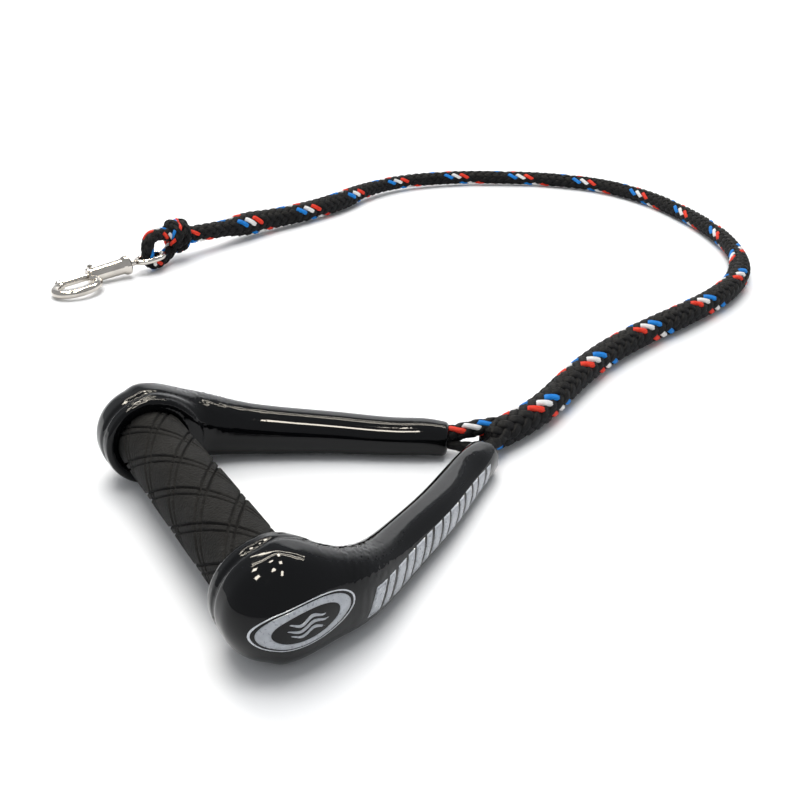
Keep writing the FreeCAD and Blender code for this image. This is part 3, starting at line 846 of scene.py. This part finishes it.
# The bridle's ends leave the arm tips and run into the mouth of the lead's splice. The
# far one has opened into two bundles round a small gap.
FAR_LEG_UPPER = [
    (50, 21, 9.6),
    (60, 12.6, 9.4),
    (68, 8.6, 10.2),
    (76, 6.0, 11.4),
    (84, 4.2, 11.0),
    (96, 5.0, 9.0),
]
FAR_LEG_LOWER = [
    (53, 18, 8.2),
    (61, 11.5, 6.6),
    (67.5, 4.6, 4.8),
    (75, 0.2, 4.6),
    (84, 0.0, 5.6),
    (94, 2.0, 7.0),
]
NEAR_LEG = [
    (54, -20, 9.0),
    (64, -12.6, 8.6),
    (73, -6.4, 8.0),
    (81, -3.2, 7.6),
    (88, -0.4, 7.4),
    (98, 3.0, 7.4),
]


def make_legs():
    upper = (BLACK, BLUE, WHITE, RED, BLACK, BLACK)
    make_small_rope("far_leg_upper", FAR_LEG_UPPER, 4.1, 40.0, upper, -1.15, ("far_leg",))
    make_small_rope("far_leg_lower", FAR_LEG_LOWER, 2.6, 30.0, (BLACK,) * 3)
    near = (BLACK, BLACK, RED, WHITE, BLUE)
    make_small_rope("near_leg_rope", NEAR_LEG, 3.9, 44.0, near, 0.4, ("near_leg",))


# ---------------------------------------------------------------- knot and loop
KNOT_CENTRE = np.array((54.6, 325.0, 15.5))
KNOT_AXIS = np.array((0.93, 0.34, -0.12))
KNOT_TURNS = 1.75
KNOT_RADIUS = 6.8
KNOT_LOBE = 2.4
LOOP_IN_EYE = np.array((29.8, 309.6, 0.0))
LOOP_RADIUS = 4.6


def knot_frame():
    """The knot's axis along the lead, and the level and upward directions across it."""
    axis = KNOT_AXIS / np.linalg.norm(KNOT_AXIS)
    flat = np.cross((0, 0, 1.0), axis)
    flat /= np.linalg.norm(flat)
    return axis, flat, np.cross(axis, flat)


def make_knot():
    """The loop's tail wraps round the lead's end and stands up in a lobe on top."""
    axis, flat, up = knot_frame()
    route = [KNOT_CENTRE + axis * 2.0]
    per_turn = 10
    count = int(KNOT_TURNS * per_turn)
    for i in range(count + 1):
        turn = TAU * i / per_turn - 0.6
        lift = KNOT_RADIUS + KNOT_LOBE * max(0.0, math.sin(turn)) ** 2
        shift = 6.0 - 11.0 * i / count
        out = flat * math.cos(turn) + up * math.sin(turn)
        route.append(KNOT_CENTRE + axis * shift + out * lift)
    wraps = (BLACK, BLACK, RED, BLUE, BLACK, BLACK)
    make_small_rope("knot_wraps", route, 4.6, 30.0, wraps, 2.0, ("lock_knot",))
    heart = [KNOT_CENTRE + axis * d for d in (9.0, 5.0, 0.0, -5.0)]
    make_small_rope("knot_heart", heart, 5.6, 50.0, (BLACK,) * 8)


def make_loop():
    """Soft loop: out of the knot, down through the snap's eye and back to the knot."""
    ahead = KNOT_CENTRE * (1, 1, 0) - LOOP_IN_EYE
    reach = np.linalg.norm(ahead)
    ahead /= reach
    profile = [
        (reach - 2.0, 17.0),
        (reach - 7.5, 19.5),
        (12.0, 23.0),
        (3.0, 22.8),
        (-0.6, 17.0),
        (-0.6, 9.0),
        (2.5, 4.6),
        (12.0, 4.8),
        (reach - 8.0, 8.0),
        (reach - 2.0, 12.0),
    ]
    route = [LOOP_IN_EYE + ahead * e + np.array((0, 0, z)) for e, z in profile]
    colours = (RED, WHITE, BLUE, BLACK, BLACK, BLACK)
    make_small_rope("soft_loop", route, LOOP_RADIUS, 34.0, colours, 0.6, ("snap_loop",))


# ---------------------------------------------------------------- print on the near boot
def outer_surface(field, places, lift):
    """Points on a boot's outer side above (u, w) places, lifted off it a little.

    It steps in from outside until it is in the boot, then halves the last step."""

    def at(v):
        return np.stack([places[:, 0], v, places[:, 1]], 1)

    outside, step = 90.0, 3.0
    low = np.full(len(places), np.nan)
    for v in np.arange(outside, 0.0, -step):
        found = field(at(np.full(len(places), v))) < 0
        low = np.where(found & np.isnan(low), v, low)
    high = low + step
    for _ in range(22):
        middle = (low + high) / 2
        inside = field(at(middle)) < 0
        low = np.where(inside, middle, low)
        high = np.where(inside, high, middle)
    points = at(high)
    slope = field.slope(points)
    return points + slope / np.linalg.norm(slope, axis=1)[:, None] * lift


def sheet_solid(field, grid, closed):
    """A thin closed solid over a grid of (u, w) places, closed where the grid is a ring."""
    n, m = grid.shape[:2]
    flat = grid.reshape(-1, 2)
    top = outer_surface(field, flat, PRINT_LIFT)
    under = outer_surface(field, flat, -PRINT_ROOT)
    vertices = np.concatenate([top, under])
    vertices[:, 1] *= -1
    faces = []
    rows = n if closed else n - 1
    for i in range(rows):
        for j in range(m - 1):
            a, b = i * m + j, i * m + j + 1
            c, d = (i + 1) % n * m + j + 1, (i + 1) % n * m + j
            faces += [(a, b, c, d), (a + n * m, d + n * m, c + n * m, b + n * m)]
        for j, order in ((0, 1), (m - 1, -1)):
            a, d = i * m + j, (i + 1) % n * m + j
            faces.append((a, d, d + n * m, a + n * m)[::order])
    if not closed:
        for i, order in ((0, -1), (n - 1, 1)):
            for j in range(m - 1):
                a, b = i * m + j, i * m + j + 1
                faces.append((a, b, b + n * m, a + n * m)[:: -order])
    return vertices, faces


PRINT_LIFT = 0.1
PRINT_ROOT = 0.25
BADGE_PLACE = (3.2, 1.4)
BADGE_TILT = math.radians(8)
BADGE_HALF = (18.0, 8.0)
BARS = 14
BARS_FROM = (32.0, -2.6)
BARS_TO = (113.0, 0.0)
BAR_HEIGHTS = (10.5, 7.3)
BAR_LENGTHS = (5.6, 3.6, 5.0, 4.2)
BAR_LEAN = 0.3
BAR_RIM = 0.55


def badge_places(p, q):
    """Badge coordinates, from -1 to 1 over its oval, to (u, w)."""
    a, b = p * BADGE_HALF[0], q * BADGE_HALF[1]
    c, s = math.cos(BADGE_TILT), math.sin(BADGE_TILT)
    return np.stack([BADGE_PLACE[0] + a * c - b * s, BADGE_PLACE[1] + a * s + b * c], -1)


def oval_ring(inner, outer, across):
    """A band between two sizes of the badge's oval."""
    turn = np.arange(96) / 96 * TAU
    size = np.linspace(inner, outer, across)
    return badge_places(np.cos(turn)[:, None] * size, np.sin(turn)[:, None] * size)


def wave(level):
    """A swell line across the middle of the badge."""
    t = np.linspace(-1, 1, 33)
    reach = 0.40 - 0.05 * abs(level)
    x = t * reach
    y = 0.26 * level + 0.10 * np.sin(t * 1.5 * math.pi + 0.4)
    thick = 0.075 * np.cos(t * math.pi / 2) ** 0.5
    share = np.linspace(-1, 1, 3)[None, :]
    return badge_places(x[:, None] + 0 * share, y[:, None] + thick[:, None] * share)


def bar(u, w, length, height, inset):
    """A leaning bar on the arm as a grid of (u, w) places."""
    s = np.linspace(-1, 1, 9)[:, None]
    t = np.linspace(-1, 1, 13)[None, :]
    half_length, half_height = length / 2 - inset, height / 2 - inset
    across = u + s * half_length + t * half_height * BAR_LEAN
    return np.stack([across, w + t * half_height + 0 * s], -1)


def bar_sizes():
    """Place, length and height of each bar; they get lower towards the arm's tip."""
    for i in range(BARS):
        share = i / (BARS - 1)
        u = BARS_FROM[0] + (BARS_TO[0] - BARS_FROM[0]) * share
        w = BARS_FROM[1] + (BARS_TO[1] - BARS_FROM[1]) * share
        height = BAR_HEIGHTS[0] + (BAR_HEIGHTS[1] - BAR_HEIGHTS[0]) * share
        yield u, w, BAR_LENGTHS[i % len(BAR_LENGTHS)], height


def make_print(field):
    """A generic oval badge with swell lines, and a row of leaning bars along the arm."""
    add_print("boot_badge_edge", [sheet_solid(field, oval_ring(0.965, 1.0, 2), True)], PRINT_EDGE)
    badge = [sheet_solid(field, oval_ring(0.66, 0.90, 6), True)]
    badge += [sheet_solid(field, wave(level), False) for level in (-1, 0, 1)]
    add_print("boot_badge", badge, PRINT)
    rims = [sheet_solid(field, bar(*size, 0.0), False) for size in bar_sizes()]
    add_print("boot_bar_edges", rims, PRINT_EDGE)
    raised = RaisedField(field, 0.05)
    bars = [sheet_solid(raised, bar(*size, BAR_RIM), False) for size in bar_sizes()]
    add_print("boot_bars", bars, PRINT)


class RaisedField:
    """A field whose surface stands a little further out, for print on print."""

    def __init__(self, field, rise):
        self.field = field
        self.rise = rise
        self.slope = field.slope

    def __call__(self, p):
        return self.field(p) - self.rise


def add_print(name, solids, material):
    """Several thin solids on the near boot as one piece."""
    vertices, faces, _ = join_parts(*[(v, f, []) for v, f in solids])
    add_piece(name, handle_to_row(vertices), faces, material, "handle")


# ---------------------------------------------------------------- grip
GRIP_BORE = 11.15
GROOVE_STARTS, GROOVE_LEAD = 5, 130.0
# Where each groove of a pair lies across it, and how deep it is.
GROOVE_PAIR = ((-1.4, 1.1), (1.4, 0.85))
GROOVE_HALF_WIDTH = 0.42
# The strip between the two grooves of a pair is slightly lower.
STRIP_DEPTH, STRIP_HALF_WIDTH = 0.12, 1.4
GRIP_END_DROP, GRIP_END_WIDTH = 0.8, 0.9


def make_grip():
    """Rubber sleeve with crossing pairs of helical grooves that leave large diamonds."""
    around = 330
    along = 290
    half = GRIP_LENGTH / 2
    v = np.linspace(-half, half, along)
    turn = np.arange(around) / around * TAU
    v_grid, turn_grid = np.meshgrid(v, turn, indexing="ij")
    depth = np.zeros_like(v_grid)
    lean = math.cos(math.atan2(TAU * GRIP_RADIUS, GROOVE_LEAD))
    for hand in (1, -1):
        place = (turn_grid / TAU - hand * v_grid / GROOVE_LEAD) * GROOVE_STARTS
        off = (place - np.round(place)) / GROOVE_STARTS * TAU * GRIP_RADIUS * lean
        for shift, deep in GROOVE_PAIR:
            groove = deep * np.exp(-(((off - shift) / GROOVE_HALF_WIDTH) ** 4))
            depth = np.maximum(depth, groove)
        strip = STRIP_DEPTH * np.exp(-((off / STRIP_HALF_WIDTH) ** 6))
        depth = np.maximum(depth, strip)
    ends = GRIP_END_DROP * (1 - smoothstep(0, GRIP_END_WIDTH, half - np.abs(v_grid)))
    radius = GRIP_RADIUS - depth - ends
    outer = np.stack([radius * np.cos(turn_grid), v_grid, radius * np.sin(turn_grid)], -1)
    rims = []
    for end in (-half, half):
        across, up = GRIP_BORE * np.cos(turn), GRIP_BORE * np.sin(turn)
        rims.append(np.stack([across, np.full(around, end), up], 1))
    vertices = np.concatenate([outer.reshape(-1, 3), *rims])
    faces = []
    for i in range(along - 1):
        for j in range(around):
            k = (j + 1) % around
            here, above = i * around, (i + 1) * around
            faces.append((here + j, here + k, above + k, above + j))
    top = (along - 1) * around
    low_rim, high_rim = along * around, (along + 1) * around
    for j in range(around):
        k = (j + 1) % around
        faces.append((low_rim + j, low_rim + k, k, j))
        faces.append((top + j, top + k, high_rim + k, high_rim + j))
        faces.append((high_rim + j, high_rim + k, low_rim + k, low_rim + j))
    places = handle_to_row(vertices)
    add_piece(
        "grooved_grip", places, faces, RUBBER, "handle", ("rubber_grip",)
    )


# ---------------------------------------------------------------- bolt spring
# From the seat towards the hook, in the row frame.
SNAP_AXIS = (-0.991915, -0.086781, -0.092593)
SPRING_SEAT = (6.583, 307.545, 7.341)
SPRING_LENGTH, SPRING_TURNS = 12.5, 7.0
SPRING_RADIUS, WIRE_RADIUS = 1.7, 0.28
SPRING_GAP = 0.05


def make_spring():
    """Coil from the barrel's inner wall to the bolt's tail, built at one fixed length."""
    axis = np.array(SNAP_AXIS)
    side = np.cross(axis, (0, 0, 1.0))
    side /= np.linalg.norm(side)
    up = np.cross(axis, side)
    t = np.linspace(0, 1, 225)
    turn = t * SPRING_TURNS * TAU
    free = SPRING_LENGTH - 2 * WIRE_RADIUS - 2 * SPRING_GAP
    along = WIRE_RADIUS + SPRING_GAP + t * free
    line = np.array(SPRING_SEAT) + axis * along[:, None]
    coil = side * np.cos(turn)[:, None] + up * np.sin(turn)[:, None]
    vertices, faces = core(line + SPRING_RADIUS * coil, WIRE_RADIUS, 8)
    places = vertices * MM
    piece = add_piece(
        "coil_spring", places, faces, SPRING_STEEL, "snap", ("bolt_spring",)
    )
    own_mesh(piece)

# ---------------------------------------------------------------- carried-over nodes
def paint_node(node, material):
    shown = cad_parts[node]
    shown.data.materials.clear()
    shown.data.materials.append(material)


def paint_nodes():
    for node in ("swivel_eye", "snap_body", "snap_bolt", "thumb_stud"):
        paint_node(node, NICKEL)
    paint_node("grip_tube", ALUMINIUM)
    paint_node("near_rope_guide", NYLON)
    paint_node("far_rope_guide", NYLON)
    paint_node("bridle_rope", BLACK_YARN)


bpy.context.scene.view_settings.view_transform = "Standard"
make_camera()
make_floor()
make_lights()
paint_nodes()
lead, lead_core, lead_line = make_lead()
make_grip()
make_boot("far_boot", 1)
near_field = make_boot("near_boot", -1)
make_legs()
make_knot()
make_loop()
make_print(near_field)
make_spring()
